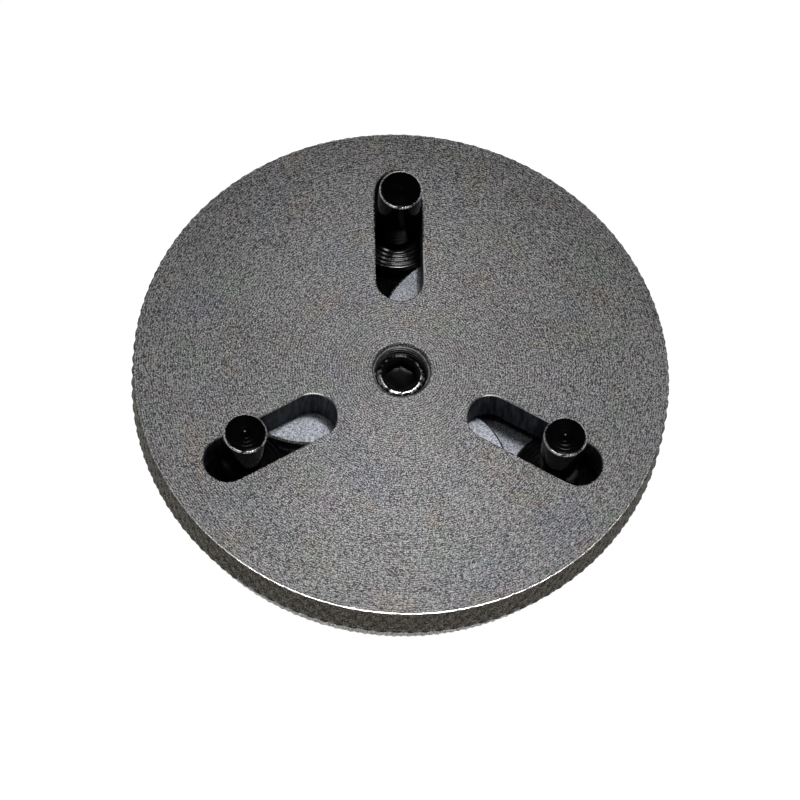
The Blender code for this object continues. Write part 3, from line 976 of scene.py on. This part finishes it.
def make_follower(index, finish):
    """The round foot of a pin: a stepped, ringed disc that runs in the groove."""
    node = f"follower_{index + 1}"
    low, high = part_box(node)
    radius = (high.x - low.x) / 2
    top = high.z - low.z
    profile = [(FOLLOWER_BORE, top), (FOLLOWER_HUB_RADIUS, top)]
    for i in range(FOLLOWER_RING_STEPS + 1):
        share = i / FOLLOWER_RING_STEPS
        wave = 0.5 - 0.5 * math.cos(FULL_TURN * FOLLOWER_RINGS * share)
        height = top - FOLLOWER_STEP_DOWN - FOLLOWER_RING_DEPTH * wave - FOLLOWER_SLOPE * share
        profile.append((FOLLOWER_RING_START + FOLLOWER_RING_SPAN * share, height))
    profile += [
        *[(radius - inset, top - drop) for inset, drop in FOLLOWER_EDGE_PATH],
        (radius, FOLLOWER_BOTTOM_CHAMFER),
        (radius - FOLLOWER_BOTTOM_CHAMFER, 0.0),
        (FOLLOWER_BORE, 0.0),
    ]
    shell = Shell()
    shell.stack(spun(profile), closed=True)
    x, y = centre_of(node)
    return shell.make(f"groove_follower_{index + 1}", [finish], (x, y, low.z))


def threaded(top, bottom):
    """The profile of a thread, cut as plain rings, going down from top to bottom."""
    points = []
    height = top - THREAD_PITCH / 2
    while height - THREAD_PITCH > bottom:
        points.append((THREAD_RADIUS, height))
        points.append((THREAD_RADIUS - THREAD_DEPTH, height - THREAD_PITCH / 2))
        height -= THREAD_PITCH
    points.append((THREAD_RADIUS, height))
    points.append((THREAD_RADIUS - THREAD_DEPTH, bottom))
    return points


def make_pivot_screw(finishes):
    """The socket cap screw in the middle, with a rounded head and a shoulder."""
    shell = Shell()
    top = PIVOT_HIGH.z
    radius = PIVOT_HIGH.x
    lead, _ = shell.stack(hex_rings(PIVOT_HEX, top, PIVOT_HEX_DEPTH))
    outside = [
        *rounded_edge(radius, top, PIVOT_HEAD_ROUND),
        (radius, PIVOT_HEAD_BOTTOM),
        (PIVOT_SHOULDER_RADIUS, PIVOT_HEAD_BOTTOM),
        (PIVOT_SHOULDER_RADIUS, PIVOT_SHOULDER_END),
        (THREAD_RADIUS, PIVOT_SHOULDER_END),
        *threaded(PIVOT_SHOULDER_END, PIVOT_LOW.z),
        (0.0, PIVOT_LOW.z),
    ]
    low_wear = top - PIVOT_HEAD_ROUND * PIVOT_WORN_SHARE
    head, _ = worn_stack(shell, spun(outside, HEX_STEPS), low_wear, top)
    shell.band(lead, head)
    return shell.make("pivot_cap_screw", finishes)


def make_boss_screw(index, finish):
    """A cap screw that stands head down, with a straight-knurled head."""
    node = f"boss_screw_{index + 1}"
    low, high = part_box(node)
    radius = (high.x - low.x) / 2
    head_top = BOSS_HEAD_TOP - low.z
    end = high.z - low.z
    steps = BOSS_HEAD_TEETH * BOSS_TOOTH_STEPS
    teeth = []
    for i in range(steps):
        tooth = BOSS_HEAD_TOOTH * (0.5 - 0.5 * math.cos(FULL_TURN * i / BOSS_TOOTH_STEPS))
        teeth.append(polar(radius - tooth, FULL_TURN * i / steps))
    shell = Shell()
    outside = [
        circle(radius - BOSS_HEAD_CHAMFER, 0.0, steps),
        circle(radius - BOSS_HEAD_TOOTH, BOSS_HEAD_CHAMFER - BOSS_TOOTH_START, steps),
        at_height(teeth, BOSS_HEAD_CHAMFER),
        at_height(teeth, head_top - BOSS_TOOTH_END),
        circle(radius - BOSS_HEAD_TOOTH * 1.5, head_top, steps),
        circle(THREAD_RADIUS, head_top, steps),
        *[circle(r, end - h, steps) for r, h in threaded(end - head_top, 0.0)],
        circle(0.0, end, steps),
    ]
    mouth, _ = shell.stack(outside)
    lead, _ = shell.stack(hex_rings(BOSS_HEX, 0.0, BOSS_HEX_DEPTH, -1))
    shell.flat(mouth, [lead])
    x, y = centre_of(node)
    return shell.make(f"boss_cap_screw_{index + 1}", [finish], (x, y, low.z))


def make_wave_washer(finish):
    """A thin ring bent into three even waves, with eased edges."""
    inner, outer = WASHER_BORE, WAVE_HIGH.x
    middle = (WAVE_LOW.z + WAVE_HIGH.z) / 2
    half, ease = WAVE_HALF_SHEET, WAVE_EASE
    profile = [
        (outer - ease, half),
        (outer, half - ease),
        (outer, ease - half),
        (outer - ease, -half),
        (inner + ease, -half),
        (inner, ease - half),
        (inner, half - ease),
        (inner + ease, half),
    ]
    shell = Shell()
    rings = []
    for radius, height in profile:
        points = []
        for x, y, z in circle(radius, height):
            rise = WAVE_HEIGHT * math.cos(WAVE_COUNT * math.atan2(y, x))
            points.append((x, y, middle + z + rise))
        rings.append(points)
    shell.stack(rings, closed=True)
    return shell.make("drag_wave_washer", [finish])


def make_thrust_washer(finish):
    """A flat bronze ring with an oil groove turned in its upper face."""
    inner, ease = WASHER_BORE, THRUST_EASE
    low, high = THRUST_LOW.z, THRUST_HIGH.z
    groove_start, floor_start, floor_end, groove_end = THRUST_GROOVE
    profile = [
        (inner, high - ease),
        (inner + ease, high),
        (groove_start, high),
        (floor_start, high - THRUST_GROOVE_DEPTH),
        (floor_end, high - THRUST_GROOVE_DEPTH),
        (groove_end, high),
        (THRUST_RADIUS - ease, high),
        (THRUST_RADIUS, high - ease),
        (THRUST_RADIUS, low + ease),
        (THRUST_RADIUS - ease, low),
        (inner + ease, low),
        (inner, low + ease),
    ]
    shell = Shell()
    shell.stack(spun(profile), closed=True)
    return shell.make("bronze_thrust_washer", [finish])


def square_outline(half, corner):
    """A square with rounded corners, with as many points whatever its size."""
    points = []
    straight = half - corner
    for side in range(4):
        turn = side * QUARTER
        local = [
            (half, -straight + 2 * straight * i / SOCKET_SIDE_STEPS) for i in range(SOCKET_SIDE_STEPS)
        ]
        local += arc((straight, straight), corner, 0.0, QUARTER, SOCKET_CORNER_STEPS)[:-1]
        cos, sin = math.cos(turn), math.sin(turn)
        points.extend((x * cos - y * sin, x * sin + y * cos) for x, y in local)
    return points


def socket_row(half, height):
    """The socket wall at one height, with a round detent hollow in each flat."""
    points = []
    for x, y in square_outline(half, SOCKET_CORNER):
        push = 0.0
        across = min(abs(x), abs(y))
        away = math.hypot(across, height - DETENT_HEIGHT)
        if away < DETENT_RADIUS:
            push = DETENT_DEPTH * (1 - (away / DETENT_RADIUS) ** 2)
        if abs(x) > abs(y):
            points.append((x + math.copysign(push, x), y, height))
        else:
            points.append((x, y + math.copysign(push, y), height))
    return points


def make_drive_boss():
    """The flanged boss on the back: a turned nose with a square socket, and three screw holes."""
    shell = Shell()
    outside = [
        (FLANGE_RADIUS - NOSE_CHAMFER, FLANGE_TOP),
        (FLANGE_RADIUS, FLANGE_TOP - NOSE_CHAMFER),
        (FLANGE_RADIUS, FLANGE_BOTTOM + NOSE_CHAMFER),
        (FLANGE_RADIUS - NOSE_CHAMFER, FLANGE_BOTTOM),
    ]
    groove_top, floor_top, floor_bottom, groove_bottom = NOSE_GROOVE
    nose = [
        (NOSE_RADIUS, FLANGE_BOTTOM),
        (NOSE_RADIUS, groove_top),
        (NOSE_RADIUS - NOSE_GROOVE_DEPTH, floor_top),
        (NOSE_RADIUS - NOSE_GROOVE_DEPTH, floor_bottom),
        (NOSE_RADIUS, groove_bottom),
        (NOSE_RADIUS, NOSE_CHAMFER),
        (NOSE_RADIUS - NOSE_CHAMFER, 0.0),
    ]
    top_rim, flange_rim = shell.stack(spun(outside))
    nose_root, end_rim = shell.stack(spun(nose))
    shell.finish = BOSS_SOCKET
    rows = [at_height(square_outline(SOCKET_HALF_WIDTH + SOCKET_LEAD, SOCKET_CORNER), 0.0)]
    height = SOCKET_LEAD
    while height < SOCKET_FLOOR:
        rows.append(socket_row(SOCKET_HALF_WIDTH, height))
        height += SOCKET_ROW
    rows.append(socket_row(SOCKET_HALF_WIDTH, SOCKET_FLOOR))
    mouth, floor = shell.stack(rows)
    shell.flat(floor)
    shell.finish = FACE
    top_holes = []
    bottom_holes = [nose_root]
    for index in range(SLOT_COUNT):
        place = centre_of(f"boss_screw_{index + 1}")
        ends = [circle(THREAD_HOLE, height, HEX_STEPS, place) for height in (FLANGE_TOP, FLANGE_BOTTOM)]
        upper, lower = shell.stack(ends)
        top_holes.append(upper)
        bottom_holes.append(lower)
    shell.flat(top_rim, top_holes)
    shell.flat(flange_rim, bottom_holes)
    shell.flat(end_rim, [mouth])
    face = turned_steel("turned boss steel", (0.075, 0.074, 0.072), (0.28, 0.278, 0.27), 0.4)
    wall = milled_wall("broached socket wall")
    return shell.make("socket_boss", [face, wall])


def settle(piece, body, node):
    """Puts a piece in a node's stead, riding on that node's body."""
    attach(piece, body)
    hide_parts(node)


def build_pieces():
    """Every piece in its node's stead, on its body."""
    settle(make_knurled_disc(), "slotted_disc", "knurled_disc")
    settle(make_scroll_plate(), "scroll_side", "scroll_plate")
    pin_finish = black_oxide("black oxide")
    follower_finish = black_oxide("polished black", 0.45, 0.35)
    screw_finish = black_oxide("black screw", 0.24, 0.3)
    rubbed = rubbed_edge("rubbed pin edge", 0.34, 0.5)
    rubbed_head = rubbed_edge("rubbed head edge", 0.48, 0.62)
    for index in range(SLOT_COUNT):
        number = index + 1
        body = f"pin_slider_{number}"
        settle(make_pin(index, [pin_finish, rubbed]), body, f"pin_{number}")
        settle(make_follower(index, follower_finish), body, f"follower_{number}")
        screw = make_boss_screw(index, screw_finish)
        settle(screw, "scroll_side", f"boss_screw_{number}")
    settle(make_pivot_screw([screw_finish, rubbed_head]), "scroll_side", "pivot_screw")
    spring = washer_metal("spring steel", (0.16, 0.16, 0.17), (0.42, 0.42, 0.44), 0.32)
    bronze = washer_metal("bronze", (0.30, 0.18, 0.07), (0.55, 0.36, 0.17), 0.36)
    settle(make_wave_washer(spring), "scroll_side", "wave_washer")
    settle(make_thrust_washer(bronze), "scroll_side", "thrust_washer")
    settle(make_drive_boss(), "scroll_side", "drive_boss")


# Studio


def softbox(name, azimuth, elevation, distance, width, height, power, spread=180):
    """A soft area light. Azimuth 0 is in front of the object, and it counts towards the right."""
    lamp = bpy.data.lights.new(name, "AREA")
    lamp.shape = "RECTANGLE"
    lamp.size = width
    lamp.size_y = height
    lamp.energy = power
    lamp.spread = math.radians(spread)
    light = bpy.data.objects.new(name, lamp)
    side = math.radians(azimuth)
    lift = math.radians(elevation)
    light.location = distance * Vector(
        (math.sin(side) * math.cos(lift), -math.cos(side) * math.cos(lift), math.sin(lift))
    )
    towards = Vector(LIGHT_TARGET) - light.location
    light.rotation_euler = towards.to_track_quat("-Z", "Y").to_euler()
    bpy.context.scene.collection.objects.link(light)


def make_floor():
    """A wide pale floor that glows a little, so that it stays even."""
    shell = Shell()
    shell.flat(shell.ring(circle(FLOOR_RADIUS, 0.0, 64)))
    finish = Finish("pale floor")
    tone = finish.noise(60.0, 2.0, 0.5)
    colour = finish.blend((0.16, 0.16, 0.16), (0.18, 0.18, 0.18), tone)
    material = finish.done(
        Base_Color=colour, Roughness=0.9, Emission_Color=WHITE, Emission_Strength=FLOOR_GLOW
    )
    floor = shell.make("floor", [material], (0.0, 0.0, -FLOOR_DROP))


def make_world():
    world = bpy.data.worlds.new("studio")
    bpy.context.scene.world = world
    world.use_nodes = True
    background = world.node_tree.nodes["Background"]
    background.inputs["Color"].default_value = WHITE
    background.inputs["Strength"].default_value = WORLD_GLOW


def make_camera():
    """A long lens from above the front, tipped a little to one side."""
    lens = bpy.data.cameras.new("camera")
    lens.sensor_width = CAMERA_SENSOR
    lens.lens = CAMERA_LENS
    lens.clip_start = 0.01
    lens.clip_end = 20.0
    camera = bpy.data.objects.new("camera", lens)
    heading = Matrix.Rotation(CAMERA_HEADING, 4, "Z")
    tilt = Matrix.Rotation(CAMERA_TILT, 4, "X")
    roll = Matrix.Rotation(CAMERA_ROLL, 4, "Z")
    turn = heading @ tilt @ roll
    place = CAMERA_TARGET + turn @ Vector((0.0, 0.0, CAMERA_DISTANCE))
    camera.matrix_world = Matrix.Translation(place) @ turn
    bpy.context.scene.collection.objects.link(camera)
    bpy.context.scene.camera = camera


build_pieces()
make_floor()
make_world()
softbox("overhead_softbox", 135, 83, HIGH_LIGHT, 0.08, 0.08, 0.0215, 16)
softbox("highlight_softbox", -65, 77, HIGH_LIGHT, 0.06, 0.06, 0.24)
softbox("front_softbox", 0, 26, LOW_LIGHT, 0.70, 0.08, 0.38)
softbox("left_softbox", -116, 7, LOW_LIGHT, 0.40, 0.10, 0.09)
softbox("right_softbox", 116, 7, LOW_LIGHT, 0.40, 0.10, 0.06)
softbox("back_softbox", 180, 13, LOW_LIGHT, 0.20, 0.06, 0.18)
make_camera()
bpy.context.scene.view_settings.view_transform = "Standard"
